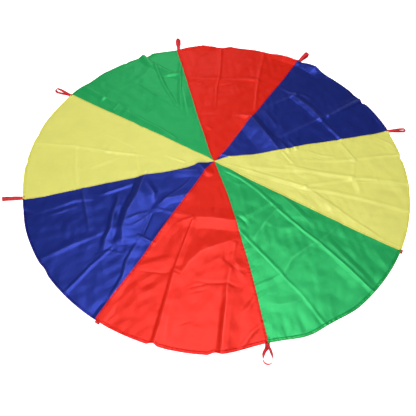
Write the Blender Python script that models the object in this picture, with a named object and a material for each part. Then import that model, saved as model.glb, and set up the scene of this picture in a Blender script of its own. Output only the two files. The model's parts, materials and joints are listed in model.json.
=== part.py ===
"""Play parachute spread on the ground, in metres, +Z up.

Eight cloth gores meet in the middle. A flat seam runs between each two, a turned hem closes the rim,
and a webbing handle is sewn under the rim at each seam. Seams, gores and handles are numbered
clockwise from the seam at +Y. The origin is on the ground, in the middle of the rim."""

import math

import bmesh
import bpy
from mathutils import Matrix, Vector
from mathutils.geometry import delaunay_2d_cdt

# Canopy
RADIUS = 1.0
GORES = 8
MEET_X = -0.006
MEET_Y = 0.018
CLOTH = 0.0005
SEAM_WIDTH = 0.010
SEAM_THICKNESS = 0.0015
HEM_WIDTH = 0.012
HEM_THICKNESS = 0.0015
CLEARANCE = 0.0003

# Folds of the spread cloth
FOLD_HEIGHT = 0.020
FOLD_SPREAD = 0.055

# Handles
WEBBING_WIDTH = 0.020
WEBBING = 0.0012
STRAP_LENGTH = 0.190
SEWN_LENGTH = 0.028
STUB_LENGTH = 0.006
WIDEST_GAPE = 0.044
TACK_WIDTH = 0.016
TACK_DEPTH = 0.003
TACK_THICKNESS = 0.0006

# Shape of the cloth round a sewn strap
COVER_MARGIN = 0.005
LIFT_SPREAD = 0.050

# Distance between the points of the faceted cloth
MESH_STEP = 0.070

# Colour, roughness and name of what each piece is made of
COLOURS = {
    "red_cloth": ((0.745, 0.022, 0.018), 0.42),
    "blue_cloth": ((0.018, 0.028, 0.262), 0.38),
    "yellow_cloth": ((0.730, 0.716, 0.156), 0.45),
    "green_cloth": ((0.026, 0.376, 0.102), 0.40),
    "red_webbing": ((0.753, 0.012, 0.026), 0.65),
    "red_thread": ((0.500, 0.020, 0.016), 0.60),
}
GORE_COLOURS = ("red", "blue", "yellow", "green") * 2

# Where each seam ends: how far round from its even place, as a share of a gore's angle, and how far
# out, as a share of the radius
seam_end_shares = (
    (0.0, 0.981),
    (-0.02, 1.0),
    (0.017, 1.0),
    (0.0, 1.0),
    (-0.041, 0.971),
    (0.019, 1.0),
    (-0.008, 0.992),
    (0.0, 1.0),
)

# How far round the rim a pulled-in seam end draws the hem with it, as a share of a gore's angle
PULL_SHARE = 0.3

# Each handle's gape, as a share of the widest, how far it leans over, as a share of a quarter turn,
# how far it points aside, also of a quarter turn, and whether it is tucked under the canopy
handle_shares = (
    (0.55, -0.50, -0.11, False),
    (0.75, 0.0, -0.17, False),
    (0.35, 0.45, -0.17, False),
    (0.073, 0.0, 0.0, True),
    (0.90, 1.0, -0.17, False),
    (0.073, 0.0, 0.0, True),
    (0.24, 0.35, -0.06, False),
    (0.55, -0.50, 0.17, False),
)

# Shares of a loop's reach: where its legs have moved apart, where the strap is half turned on its
# edge, where it starts to turn fully, and where a tucked loop's legs start to part
APART_SHARE = 0.5
HALF_TURN_SHARE = 0.4
FULL_TURN_SHARE = 0.9
TUCKED_SHARE = 0.5

# Crest lines of the main folds: x and y as shares of the radius, height as a share of the tallest
fold_shares = (
    ((0.273, 0.945, 0.6), (0.237, 0.84, 0.5), (0.184, 0.59, 0.35), (0.118, 0.398, 0.0)),
    ((0.03, 0.95, 0.2), (0.10, 0.965, 0.6), (0.19, 0.94, 0.2)),
    ((0.53, 0.82, 0.4), (0.406, 0.56, 0.3), (0.31, 0.33, 0.0)),
    ((0.04, 0.655, 0.0), (0.184, 0.61, 0.35), (0.413, 0.575, 0.35), (0.46, 0.56, 0.0)),
    ((0.735, 0.635, 0.7), (0.79, 0.56, 0.9), (0.84, 0.48, 0.3)),
    ((0.94, 0.28, 0.8), (0.80, 0.24, 0.5), (0.634, 0.192, 0.6), (0.354, 0.081, 0.0)),
    ((0.575, 0.44, 0.0), (0.62, 0.33, 0.4), (0.649, 0.206, 0.6), (0.69, 0.06, 0.0)),
    ((0.275, 0.22, 0.0), (0.31, 0.15, 0.45), (0.35, 0.06, 0.0)),
    ((0.965, -0.19, 0.5), (0.83, -0.22, 0.3), (0.664, -0.251, 0.5), (0.413, -0.236, 0.4),
     (0.2, -0.11, 0.0)),
    ((0.413, -0.236, 0.4), (0.64, -0.38, 0.4), (0.863, -0.49, 0.0)),
    ((0.10, -0.14, 0.0), (0.236, -0.354, 0.5), (0.383, -0.56, 0.55), (0.475, -0.845, 0.3)),
    ((0.05, -0.46, 0.0), (0.125, -0.708, 0.5), (0.205, -0.94, 0.4)),
    ((0.125, -0.708, 0.5), (0.26, -0.61, 0.4), (0.383, -0.56, 0.55), (0.54, -0.49, 0.0)),
    ((-0.16, -0.22, 0.0), (-0.236, -0.413, 0.6), (-0.332, -0.575, 0.8), (-0.485, -0.845, 0.9)),
    ((-0.05, -0.50, 0.0), (-0.147, -0.649, 0.5), (-0.20, -0.80, 0.7), (-0.235, -0.935, 0.9)),
    ((-0.25, -0.33, 0.0), (-0.15, -0.34, 0.35), (-0.04, -0.36, 0.0)),
    ((-0.40, -0.06, 0.0), (-0.50, -0.177, 0.8), (-0.60, -0.33, 1.0), (-0.64, -0.42, 0.0)),
    ((-0.27, -0.12, 0.0), (-0.376, -0.192, 0.5), (-0.41, -0.31, 0.6), (-0.60, -0.50, 0.3),
     (-0.66, -0.56, 0.0)),
    ((-0.92, -0.345, 0.3), (-0.76, -0.31, 0.35), (-0.66, -0.29, 0.0)),
    ((-0.905, 0.37, 0.4), (-0.70, 0.285, 0.35), (-0.487, 0.214, 0.3), (-0.33, 0.14, 0.0)),
    ((-0.70, 0.25, 0.3), (-0.705, 0.15, 0.3), (-0.708, 0.05, 0.0)),
    ((-0.235, 0.945, 1.0), (-0.18, 0.855, 0.7), (-0.15, 0.70, 0.5), (-0.11, 0.457, 0.0)),
    ((-0.37, 0.895, 0.3), (-0.28, 0.72, 0.3), (-0.15, 0.49, 0.0)),
)

GORE_ANGLE = 2 * math.pi / GORES
MEET = Vector((MEET_X, MEET_Y))
STACK = 2 * WEBBING + CLEARANCE
HINGE_HEIGHT = STACK + CLEARANCE / 2
SEAM_REACH = SEAM_WIDTH / 2 + CLEARANCE
CROSSING_SPARE = 1.2
CROSSING_RADIUS = CROSSING_SPARE * SEAM_REACH / math.sin(GORE_ANGLE / 2)
MERGE = CLEARANCE / 10
LEG_SEGMENTS = 10
END_SEGMENTS = 9
LEG_CURVE = 1.3


def heading(angle):
    """Unit vector on the ground at an angle from +X."""
    return Vector((math.cos(angle), math.sin(angle)))


def eased(share):
    """Smooth rise from 0 to 1."""
    share = min(max(share, 0.0), 1.0)
    return share * share * (3 - 2 * share)


def rounded(share):
    """Smooth hump from 1 at 0 to nothing at 1 and beyond."""
    return max(1 - share * share, 0.0) ** 2


def seam_angle(index):
    """Direction of a seam's end from the middle of the rim; index 0 points to +Y."""
    turn, _ = seam_end_shares[index % GORES]
    return math.pi / 2 - index * GORE_ANGLE + turn * GORE_ANGLE


def rim_radius(angle):
    """Reach of the rim, drawn in round the seam ends that lie short of the full radius."""
    radius = RADIUS
    for index in range(GORES):
        _, reach = seam_end_shares[index]
        away = math.remainder(angle - seam_angle(index), 2 * math.pi)
        radius -= RADIUS * (1 - reach) * rounded(abs(away) / (PULL_SHARE * GORE_ANGLE))
    return radius


def rim_point(angle, inset=0.0):
    """Point at the rim, or inset from it towards the middle."""
    return heading(angle) * (rim_radius(angle) - inset)


def seam_frame(index):
    """Start, direction and length of a seam line, from where the gores meet to the rim."""
    line = rim_point(seam_angle(index)) - MEET
    return MEET, line.normalized(), line.length


def seam_point(index, to_rim, aside):
    """Point of a seam line at a distance from the rim, moved aside anticlockwise."""
    start, along, length = seam_frame(index)
    return start + along * (length - to_rim) + Vector((-along.y, along.x)) * aside


class Handle:
    """Place and shape of one handle: a is outward from the rim, b anticlockwise along it."""

    def __init__(self, index):
        gape, lean, turn, self.tucked = handle_shares[index]
        self.angle = seam_angle(index) + turn * math.pi / 2
        self.rim = rim_point(seam_angle(index))
        self.lean = lean * math.pi / 2
        self.end_radius = gape * WIDEST_GAPE / 2
        self.sewn_height = STACK + CLEARANCE if self.tucked else 0.0
        self.lift = self.sewn_height + STACK + CLEARANCE
        leg = (STRAP_LENGTH - math.pi * self.end_radius) / 2
        self.leg_reach = math.sqrt(leg ** 2 - self.end_radius ** 2)
        self.reach = self.leg_reach + self.end_radius
        covered = self.reach + WEBBING if self.tucked else SEWN_LENGTH
        self.cover_length = covered + COVER_MARGIN
        self.cover_half = WEBBING_WIDTH / 2 + COVER_MARGIN

    def place(self, a, b):
        """Point on the ground."""
        out = heading(self.angle)
        return self.rim + out * a + Vector((-out.y, out.x)) * b

    def local(self, point):
        """The same point as a and b."""
        out = heading(self.angle)
        offset = point - self.rim
        return offset.dot(out), offset.dot(Vector((-out.y, out.x)))

    def raise_cloth(self, point):
        """How far this handle's sewn end, or the handle itself, holds the cloth up."""
        a, b = self.local(point)
        beyond = Vector((max(-self.cover_length - a, 0.0), max(abs(b) - self.cover_half, 0.0)))
        return self.lift * (1 - eased(beyond.length / LIFT_SPREAD))


HANDLES = tuple(Handle(index) for index in range(GORES))


def crest_lines():
    """The folds' crest points in metres."""
    return [[(Vector((x, y)) * RADIUS, height * FOLD_HEIGHT) for x, y, height in line]
            for line in fold_shares]


def divided(line):
    """A crest line with a point at every step of the faceted cloth."""
    points = line[:1]
    for (start, low), (end, high) in zip(line, line[1:]):
        count = math.ceil((end - start).length / MESH_STEP)
        for step in range(count):
            share = (step + 1) / count
            points.append((start.lerp(end, share), low + (high - low) * share))
    return points


def crest_height(point, line):
    """Height of one fold at a point."""
    height = 0.0
    for (start, low), (end, high) in zip(line, line[1:]):
        run = end - start
        share = min(max((point - start).dot(run) / run.length_squared, 0.0), 1.0)
        away = (point - start - run * share).length
        crest = low + (high - low) * share
        height = max(height, crest * rounded(away / FOLD_SPREAD))
    return height


def ground_gap(point):
    """Height of the cloth's underside over the ground."""
    fold = max(crest_height(point, line) for line in crest_lines())
    return max(fold, max(handle.raise_cloth(point) for handle in HANDLES))


def seam_stations(index):
    """Distances from the rim of a seam's points, closer over the handle's sewn end."""
    _, _, length = seam_frame(index)
    first = HEM_WIDTH + 2 * CLEARANCE
    last = length - CROSSING_RADIUS - CLEARANCE
    cover = HANDLES[index % GORES].cover_length
    stations = [first, max(cover, first + COVER_MARGIN)]
    stations.append(stations[-1] + LIFT_SPREAD)
    steps = max(round((last - stations[-1]) / MESH_STEP), 1)
    step = (last - stations[-1]) / steps
    return stations + [stations[-1] + step * (count + 1) for count in range(steps)]


def rim_angles(index, aside):
    """Angles of a gore's rim points, from its first seam clockwise, starting aside from each seam."""
    near, far = HANDLES[index % GORES], HANDLES[(index + 1) % GORES]
    first, last = seam_angle(index), seam_angle(index + 1)
    if last > first:
        last -= 2 * math.pi
    ends = [aside / RADIUS, near.cover_half / RADIUS, (near.cover_half + LIFT_SPREAD) / RADIUS]
    start = [first - offset for offset in ends]
    finish = [last + offset for offset in ends]
    steps = max(round((start[-1] - finish[-1]) * RADIUS / MESH_STEP), 1)
    step = (start[-1] - finish[-1]) / steps
    between = [start[-1] - step * (count + 1) for count in range(steps - 1)]
    return start + snapped(between, step) + finish[::-1]


def snapped(angles, step):
    """Rim angles moved onto the folds that run out to the rim."""
    angles = list(angles)
    for line in crest_lines():
        for point, height in (line[0], line[-1]):
            fold = math.atan2(point.y, point.x)
            reaches_rim = height > 0 and point.length > RADIUS - 2 * FOLD_SPREAD
            for place, angle in enumerate(angles):
                away = math.remainder(fold - angle, 2 * math.pi)
                if reaches_rim and abs(away) < step / 2:
                    angles[place] = angle + away
    return angles


def inside(point, outline):
    """Whether a point lies inside a closed outline."""
    crossed = False
    for start, end in zip(outline, outline[1:] + outline[:1]):
        if (start.y > point.y) != (end.y > point.y):
            share = (point.y - start.y) / (end.y - start.y)
            crossed ^= point.x < start.x + share * (end.x - start.x)
    return crossed


def clear_of(point, others, distance):
    """Whether a point keeps a distance from all the others."""
    return all((point - other).length > distance for other in others)


def cover_points(handle):
    """Points that hold the cloth up round a sewn end, and the foot of that rise."""
    length, half = handle.cover_length, handle.cover_half
    rows = [-length, -(HEM_WIDTH + length) / 2] if handle.tucked else [-length]
    points = [handle.place(a, side * half) for a in rows for side in (-1, 1)]
    foot = half + LIFT_SPREAD
    points += [handle.place(a, side * foot) for a in rows for side in (-1, 1)]
    return points + [handle.place(-length - LIFT_SPREAD, side * foot) for side in (-1, 1)]


def fold_points():
    """Crest points of the folds, and their feet on each side."""
    points = []
    for line in map(divided, crest_lines()):
        for place, (point, height) in enumerate(line):
            before, after = line[max(place - 1, 0)][0], line[min(place + 1, len(line) - 1)][0]
            along = (after - before).normalized()
            aside = Vector((-along.y, along.x)) * FOLD_SPREAD
            points.append(point)
            if height > 0:
                points += [point + aside, point - aside]
    return points


def spread_points():
    """Even points over the whole canopy, in staggered rows."""
    count = math.ceil(RADIUS / MESH_STEP)
    points = []
    for row in range(-count, count + 1):
        for column in range(-count, count + 1):
            points.append(Vector((column + row % 2 / 2, row)) * MESH_STEP)
    return points


def gore_outline(index):
    """Outline of a gore, clockwise: out along its first seam, along the hem, back to the middle."""
    first = [seam_point(index, to_rim, -SEAM_REACH) for to_rim in seam_stations(index)]
    last = [seam_point(index + 1, to_rim, SEAM_REACH) for to_rim in seam_stations(index + 1)]
    rim = [rim_point(angle, HEM_WIDTH + 2 * CLEARANCE) for angle in rim_angles(index, 0.0)[1:-1]]
    return first[::-1] + rim + last


def gore_points(outline):
    """Points inside a gore: round the handles first, then the folds, then an even spread."""
    placed = []
    near = MESH_STEP / 4
    for handle in HANDLES:
        for point in cover_points(handle):
            if inside(point, outline) and clear_of(point, outline, COVER_MARGIN):
                placed.append(point)
    for points, distance in ((fold_points(), near), (spread_points(), 2 * near)):
        for point in points:
            if inside(point, outline) and clear_of(point, outline + placed, distance):
                placed.append(point)
    return placed


def cloth(name, outline, points, thickness, material, height=ground_gap):
    """Sheet of cloth lying over the ground: triangles inside an outline, raised and thickened."""
    count = len(outline)
    edges = [(place, (place + 1) % count) for place in range(count)]
    result = delaunay_2d_cdt(outline + points, edges, [list(range(count))], 1, MERGE)
    mesh = bmesh.new()
    low = [mesh.verts.new((point.x, point.y, height(point))) for point in result[0]]
    faces = [mesh.faces.new([low[corner] for corner in face]) for face in result[2]]
    bmesh.ops.delete(mesh, geom=[vert for vert in low if not vert.link_faces], context="VERTS")
    raised = bmesh.ops.extrude_face_region(mesh, geom=faces, use_keep_orig=True)["geom"]
    top = [part for part in raised if isinstance(part, bmesh.types.BMVert)]
    bmesh.ops.translate(mesh, verts=top, vec=(0.0, 0.0, thickness))
    return finish(name, mesh, material)


def finish(name, mesh, material, place=None):
    """Object from a bmesh, in the model's collection, with its faces turned outward."""
    bmesh.ops.recalc_face_normals(mesh, faces=mesh.faces)
    if mesh.calc_volume(signed=True) < 0:
        bmesh.ops.reverse_faces(mesh, faces=mesh.faces)
    data = bpy.data.meshes.new(name)
    mesh.to_mesh(data)
    mesh.free()
    data.materials.append(material)
    item = bpy.data.objects.new(name, data)
    item.matrix_world = place or Matrix.Identity(4)
    MODEL.objects.link(item)
    return item


def block(name, low, high, material, place):
    """Box between two corners in a local frame."""
    low, high = Vector(low), Vector(high)
    mesh = bmesh.new()
    middle = Matrix.Translation((low + high) / 2)
    bmesh.ops.create_cube(mesh, size=1.0, matrix=middle @ Matrix.Diagonal((*(high - low), 1.0)))
    return finish(name, mesh, material, place)


def gore(index):
    """One gore."""
    outline = gore_outline(index)
    colour = GORE_COLOURS[index]
    name = f"gore_{index + 1}_{colour}"
    return cloth(name, outline, gore_points(outline), CLOTH, MATERIALS[f"{colour}_cloth"])


def seam(index):
    """The folded edges of two gores, felled flat into one strip."""
    stations = seam_stations(index)
    half = SEAM_WIDTH / 2
    left = [seam_point(index, to_rim, half) for to_rim in stations]
    right = [seam_point(index, to_rim, -half) for to_rim in stations]
    colour = GORE_COLOURS[index]
    name = f"seam_{index + 1}"
    return cloth(name, left + right[::-1], [], SEAM_THICKNESS, MATERIALS[f"{colour}_cloth"])


def hem(index):
    """A gore's outer edge, turned under twice."""
    angles = rim_angles(index, CLEARANCE / 2)
    outer = [rim_point(angle) for angle in angles]
    inner = [rim_point(angle, HEM_WIDTH) for angle in angles]
    colour = GORE_COLOURS[index]
    name = f"hem_{index + 1}_{colour}"
    return cloth(name, outer + inner[::-1], [], HEM_THICKNESS, MATERIALS[f"{colour}_cloth"])


def seam_crossing():
    """Where the eight seams run over one another in the middle."""
    mesh = bmesh.new()
    depth = 2 * SEAM_THICKNESS
    place = Matrix.Translation((*MEET, depth / 2))
    bmesh.ops.create_cone(mesh, cap_ends=True, segments=2 * GORES, radius1=CROSSING_RADIUS,
                          radius2=CROSSING_RADIUS, depth=depth)
    return finish("seam_crossing", mesh, MATERIALS["red_cloth"], place)


def sewn_end(index):
    """The two ends of a handle's strap, sewn together under the rim."""
    handle = HANDLES[index]
    place = Matrix.Translation((*handle.rim, handle.sewn_height))
    place = place @ Matrix.Rotation(handle.angle, 4, "Z")
    low = (-SEWN_LENGTH, -WEBBING_WIDTH / 2, 0.0)
    high = (STUB_LENGTH - CLEARANCE / 2, WEBBING_WIDTH / 2, STACK)
    return block(f"handle_{index + 1}_sewn_end", low, high, MATERIALS["red_webbing"], place)


def tack(index):
    """The bar of stitches that holds a handle to the hem, on top of it."""
    handle = HANDLES[index]
    height = handle.lift + HEM_THICKNESS + CLEARANCE
    place = Matrix.Translation((*handle.rim, height)) @ Matrix.Rotation(handle.angle, 4, "Z")
    low = (-(HEM_WIDTH + TACK_DEPTH) / 2, -TACK_WIDTH / 2, 0.0)
    high = (-(HEM_WIDTH - TACK_DEPTH) / 2, TACK_WIDTH / 2, TACK_THICKNESS)
    return block(f"handle_{index + 1}_tack", low, high, MATERIALS["red_thread"], place)


def leg_gape(handle, along):
    """Half the distance between the middles of a handle's two legs."""
    closed = (WEBBING + CLEARANCE) / 2
    share = min(max(along / handle.leg_reach, 0.0), 1.0)
    if handle.tucked:
        parted = eased((share - TUCKED_SHARE) / (1 - TUCKED_SHARE))
    else:
        parted = math.sin(share * math.pi / 2) ** LEG_CURVE
    return closed + (handle.end_radius - closed) * parted


def strap_path(handle):
    """Middle of the strap seen from its edge: out along the upper leg, round, and back."""
    places = [handle.leg_reach * count / LEG_SEGMENTS for count in range(LEG_SEGMENTS)]
    upper = [Vector((along, leg_gape(handle, along))) for along in places]
    centre = Vector((handle.leg_reach, 0.0))
    turns = [math.pi / 2 - math.pi * count / END_SEGMENTS for count in range(END_SEGMENTS + 1)]
    round_end = [centre + heading(turn) * handle.end_radius for turn in turns]
    lower = [Vector((point.x, -point.y)) for point in upper[::-1]]
    return upper + round_end + lower


def strap_outline(handle):
    """Closed outline of the strap seen from its edge."""
    path = strap_path(handle)
    outer, inner = [], []
    for place, point in enumerate(path):
        before, after = path[max(place - 1, 0)], path[min(place + 1, len(path) - 1)]
        along = (after - before).normalized()
        if place in (0, len(path) - 1):
            along = Vector((1.0 if place == 0 else -1.0, 0.0))
        aside = Vector((-along.y, along.x)) * WEBBING / 2
        outer.append(point + aside)
        inner.append(point - aside)
    return outer + inner[::-1]


def flat_strap(outline):
    """Mesh of the strap's outline, extruded to the webbing's width."""
    curve = bpy.data.curves.new("strap", "CURVE")
    curve.dimensions = "2D"
    curve.fill_mode = "BOTH"
    curve.extrude = WEBBING_WIDTH / 2
    spline = curve.splines.new("POLY")
    spline.points.add(len(outline) - 1)
    for place, point in zip(spline.points, outline):
        place.co = (point.x, point.y, 0.0, 1.0)
    spline.use_cyclic_u = True
    guide = bpy.data.objects.new("strap", curve)
    MODEL.objects.link(guide)
    evaluated = guide.evaluated_get(bpy.context.evaluated_depsgraph_get())
    data = bpy.data.meshes.new_from_object(evaluated)
    bpy.data.objects.remove(guide)
    bpy.data.curves.remove(curve)
    return data


def lain(handle, along, gape, across):
    """A point of the upright, untwisted strap, moved to where the leaning loop lies on the ground."""
    share = along / handle.reach
    lean = handle.lean * eased(share / APART_SHARE)
    first = eased(share / HALF_TURN_SHARE)
    second = eased((share - HALF_TURN_SHARE) / (FULL_TURN_SHARE - HALF_TURN_SHARE))
    turn = handle.lean * (first + second) / 2
    leg = math.copysign(min(leg_gape(handle, along), abs(gape)), gape)
    skin = gape - leg
    half = leg_gape(handle, along)
    middle = (half * math.cos(lean) + WEBBING / 2 * math.cos(turn)
              + WEBBING_WIDTH / 2 * abs(math.sin(turn)))
    sideways = leg * math.sin(lean) + skin * math.sin(turn) + across * math.cos(turn)
    height = middle + leg * math.cos(lean) + skin * math.cos(turn) - across * math.sin(turn)
    return Vector((along, sideways, height))


def loop(index):
    """A handle's free loop of webbing, with its origin on the line where it folds."""
    handle = HANDLES[index]
    data = flat_strap(strap_outline(handle))
    mesh = bmesh.new()
    mesh.from_mesh(data)
    bpy.data.meshes.remove(data)
    bmesh.ops.remove_doubles(mesh, verts=mesh.verts, dist=MERGE)
    hinge = Vector((-CLEARANCE / 2, 0.0, HINGE_HEIGHT))
    for vert in mesh.verts:
        vert.co = lain(handle, *vert.co) - hinge
    angle = handle.angle + (math.pi if handle.tucked else 0.0)
    place = Matrix.Translation((*handle.place(STUB_LENGTH, 0.0), HINGE_HEIGHT))
    place = place @ Matrix.Rotation(angle, 4, "Z")
    return finish(f"handle_{index + 1}", mesh, MATERIALS["red_webbing"], place)


def make_material(name):
    """Plain material of one colour."""
    colour, roughness = COLOURS[name]
    material = bpy.data.materials.new(name)
    material.use_nodes = True
    shader = material.node_tree.nodes["Principled BSDF"]
    shader.inputs["Base Color"].default_value = (*colour, 1.0)
    shader.inputs["Roughness"].default_value = roughness
    shader.inputs["Metallic"].default_value = 0.0
    return material


for stale in list(bpy.data.objects):
    bpy.data.objects.remove(stale)
MODEL = bpy.data.collections.new("play_parachute")
bpy.context.scene.collection.children.link(MODEL)
MATERIALS = {name: make_material(name) for name in COLOURS}

seam_crossing()
for number in range(GORES):
    gore(number)
    seam(number)
    hem(number)
    sewn_end(number)
    tack(number)
    loop(number)
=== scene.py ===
"""Looks of the play parachute: satin gores, seams, hems, stitches and webbing handles, on a pale floor.

Lengths are in metres and +Z is up. Seams, gores and handles are numbered clockwise from the seam
at +Y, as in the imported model."""

import json
import math

import bpy
import numpy as np
from mathutils import Matrix, Vector


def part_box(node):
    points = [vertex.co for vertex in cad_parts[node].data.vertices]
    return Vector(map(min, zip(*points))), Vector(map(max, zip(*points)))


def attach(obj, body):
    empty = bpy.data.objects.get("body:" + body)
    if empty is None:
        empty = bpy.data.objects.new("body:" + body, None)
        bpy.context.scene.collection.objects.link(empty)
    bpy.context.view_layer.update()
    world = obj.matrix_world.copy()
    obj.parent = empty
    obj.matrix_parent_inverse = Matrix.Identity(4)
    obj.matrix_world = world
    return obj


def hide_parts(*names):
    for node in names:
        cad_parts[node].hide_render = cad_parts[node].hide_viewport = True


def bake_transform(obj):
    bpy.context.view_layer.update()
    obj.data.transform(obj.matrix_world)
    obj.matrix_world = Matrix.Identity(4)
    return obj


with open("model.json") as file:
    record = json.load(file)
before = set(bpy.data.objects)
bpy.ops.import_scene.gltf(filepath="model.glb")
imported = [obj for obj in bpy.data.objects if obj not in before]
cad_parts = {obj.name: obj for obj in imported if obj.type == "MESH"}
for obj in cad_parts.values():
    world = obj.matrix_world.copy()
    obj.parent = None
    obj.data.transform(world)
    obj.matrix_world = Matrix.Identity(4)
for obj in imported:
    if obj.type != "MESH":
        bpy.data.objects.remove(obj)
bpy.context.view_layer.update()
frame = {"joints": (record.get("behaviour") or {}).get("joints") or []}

# Canopy
GORES = 8
RADIUS = 1.0
CLOTH = 0.0004
SEAM_WIDTH = 0.009
SEAM_RISE = 0.0009
HEM_WIDTH = 0.012
HEM_RISE = 0.0008
TUCK_IN = 0.0015
TAPER_LENGTH = 0.05
NARROW_SHARE = 0.3
EDGE_OUT_SHARE = 0.67
START_SHARE = 0.0035
GORE_COLOURS = ("red", "blue", "yellow", "green") * 2
SEAM_COLOURS = ("red", "red", "yellow", "yellow", "red", "red", "yellow", "yellow")

# Grid of a gore
ROWS = 210
COLUMNS = 144
EDGE_SHARE = 0.6
STRIP_STEP = 0.004
STRIP_COLUMNS = 9
SEAM_EDGE_POWER = 6
HEM_EDGE_POWER = 8

# How the cloth lies
FOLD_HEIGHT = 0.020
FOLD_SPREAD = 0.050
LOFT = 0.0045
RIM_LOFT = 0.0010
LOFT_POWER = 6
SETTLE = 0.0006
FLOOR_GAP = 0.0003
LIFT_SPREAD = 0.040
LIFT_MARGIN = 0.004
CREST_BLUNT = 0.0012
TINY = 1e-9
# Painted highlight along the fold crests: its width, and the crest height (a share of the tallest) at which
# it is at full strength
CREST_HIGHLIGHT_WIDTH = 0.005
FULL_HIGHLIGHT_SHARE = 0.25

# Fine straight creases: how many sets, their usual spacing and height, the turn from one set to the
# next in radians, and the sizes of their bends and of the patches where they show
CRUMPLES = 20
CRUMPLE_LENGTH = 0.08
CRUMPLE_HEIGHT = 0.0018
CRUMPLE_TURN = 2.4
CRUMPLE_BEND_SHARE = 0.25
CRUMPLE_BEND_LENGTH = 0.21
CRUMPLE_PATCH = 0.13
CRUMPLE_BARE_SHARE = 0.15
CRUMPLE_SPREAD_SHARE = 0.618
CRUMPLE_SHIFT = 0.37
CRUMPLE_SEEDS = (40, 60)

# Feature size, height and seed of the cloth's unevenness
UNEVEN = ((0.230, 0.0022, 11), (0.090, 0.00045, 12), (0.034, 0.00015, 13), (0.017, 0.00010, 14))
NOISE_CELLS = 97

# Ripples that a row of stitches draws in the cloth beside it. For a seam and for the hem: the size
# and seed of the patches where they are strong, and how far, how fast and by which seed they wander.
# The share is their strength in an average patch, and also on a seam's weaker side
PUCKER_HEIGHT = 0.0011
PUCKER_LENGTH = 0.019
PUCKER_REACH = 0.011
PUCKER_SHARE = 0.6
PUCKER_SLANT = 0.5
SEAM_PUCKERS = ((0.07, 21), (2.5, 0.04, 22))
HEM_PUCKERS = ((0.08, 24), (3.0, 0.05, 23))
seam_pucker_shares = (0.03, 1.05)

# Handles
WEBBING_WIDTH = 0.020
WEBBING = 0.0012
STRAP_LENGTH = 0.190
SEWN_LENGTH = 0.028
STUB_LENGTH = 0.006
WIDEST_GAPE = 0.044
CLEARANCE = 0.0003
LEG_POINTS = 48
BEND_POINTS = 25
SEWN_POINTS = 10
TURN_POINTS = 15

# Half the webbing's cross-section, with a bead along each edge: across and out of it, as shares
webbing_shares = (
    (-1.0, 0.25), (-0.97, 0.8), (-0.9, 1.0), (-0.82, 0.85), (-0.4, 0.88), (0.0, 0.9),
    (0.4, 0.88), (0.82, 0.85), (0.9, 1.0), (0.97, 0.8), (1.0, 0.25),
)

# Stitches
STITCH_LENGTH = 0.0030
STITCH_PITCH = 0.0042
STITCH_RADIUS = 0.00035
STITCH_SIDES = 6
SEAM_STITCH_START_SHARE = 0.02
SEAM_LINE_POINTS = 400
HEM_STITCH_SHARE = 0.25
HEM_STITCH_RISE_SHARE = 0.9
TACK_WIDTH = 0.016
TACK_DEPTH = 0.003
TACK_THREADS = 13
TACK_RADIUS = 1.6 * STITCH_RADIUS

# A stitch's places along it and thickness there, and the knot's reach and height, as shares
stitch_shares = ((0.0, 0.3), (0.15, 0.85), (0.5, 1.0), (0.85, 0.85), (1.0, 0.3))
knot_shares = ((1.0, 0.0), (1.0, 0.4), (0.8, 0.8), (0.45, 1.0), (0.1, 0.85))
KNOT_RADIUS = 0.005
KNOT_BASE = 0.001
KNOT_HEIGHT = 0.0045
KNOT_SIDES = 24

# Where each seam ends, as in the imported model: turn as a share of a gore's angle, reach as a share
# of the radius
seam_end_shares = (
    (0.0, 0.981), (-0.02, 1.0), (0.017, 1.0), (0.0, 1.0),
    (-0.041, 0.971), (0.019, 1.0), (-0.008, 0.992), (0.0, 1.0),
)
PULL_SHARE = 0.3
BOW_BLUR_SHARE = 0.012

# How each seam bows aside where it lies, anticlockwise, as shares of the radius, at shares of the
# seam's length
bow_station_shares = (0.0, 0.04, 0.09, 0.14, 0.22, 0.3, 0.4, 0.5, 0.6, 0.7, 0.8, 0.9, 1.0)
seam_bow_shares = (
    (0.0, 0.003, 0.0045, 0.0045, 0.0045, 0.008, 0.0075, 0.0065, 0.0075, 0.0065, 0.0055, 0.0075, 0.007),
    (0.0, -0.002, -0.0045, -0.0065, -0.0035, -0.0015, 0.0005, 0.0005, 0.0035, 0.0025, 0.0035, 0.0075,
     0.0085),
    (0.0, 0.006, 0.0095, 0.0015, -0.0065, -0.0085, -0.0085, -0.002, -0.0055, -0.0095, -0.0095, -0.011,
     -0.004),
    (0.0, 0.001, 0.0015, -0.0015, -0.0035, -0.0025, -0.0025, -0.0035, -0.0035, -0.0035, -0.005, -0.0005,
     0.0045),
    (0.0, 0.0005, 0.0015, 0.0065, 0.0125, 0.0145, 0.0165, 0.0145, 0.0165, 0.0145, 0.0105, 0.0045, 0.001),
    (0.0, -0.005, -0.0085, -0.0065, -0.0065, -0.0085, -0.0105, -0.0105, -0.0075, -0.0055, -0.0095, -0.0135,
     -0.0125),
    (0.0, -0.006, -0.0095, 0.001, 0.0085, 0.0075, 0.0065, 0.0065, 0.0085, 0.0105, 0.0125, 0.0155, 0.009),
    (0.0, -0.005, -0.003, -0.0005, -0.0005, -0.0005, -0.0015, -0.0005, -0.0015, -0.0005, 0.0005, -0.0015,
     -0.0035),
)

# Where the rim is drawn in between the seams: angle and reach to each side as shares of a gore's
# angle, depth as a share of the radius
rim_dent_shares = (
    (-0.36, 0.09, 0.018), (-0.54, 0.18, 0.01), (-0.78, 0.13, 0.015), (-1.62, 0.11, 0.009),
    (0.265, 0.05, 0.016), (0.33, 0.1, 0.006), (0.52, 0.28, 0.01), (0.46, 0.03, 0.006), (0.8, 0.15, 0.013),
    (4.33, 0.2, 0.012), (3.34, 0.035, 0.009), (3.673, 0.04, 0.01), (-2.24, 0.04, 0.007),
    (-1.66, 0.03, 0.008), (-1.3, 0.03, 0.005), (-0.9, 0.04, 0.006), (2.55, 0.06, 0.005),
    (1.45, 0.05, 0.004), (1.7, 0.04, 0.004),
)

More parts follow.
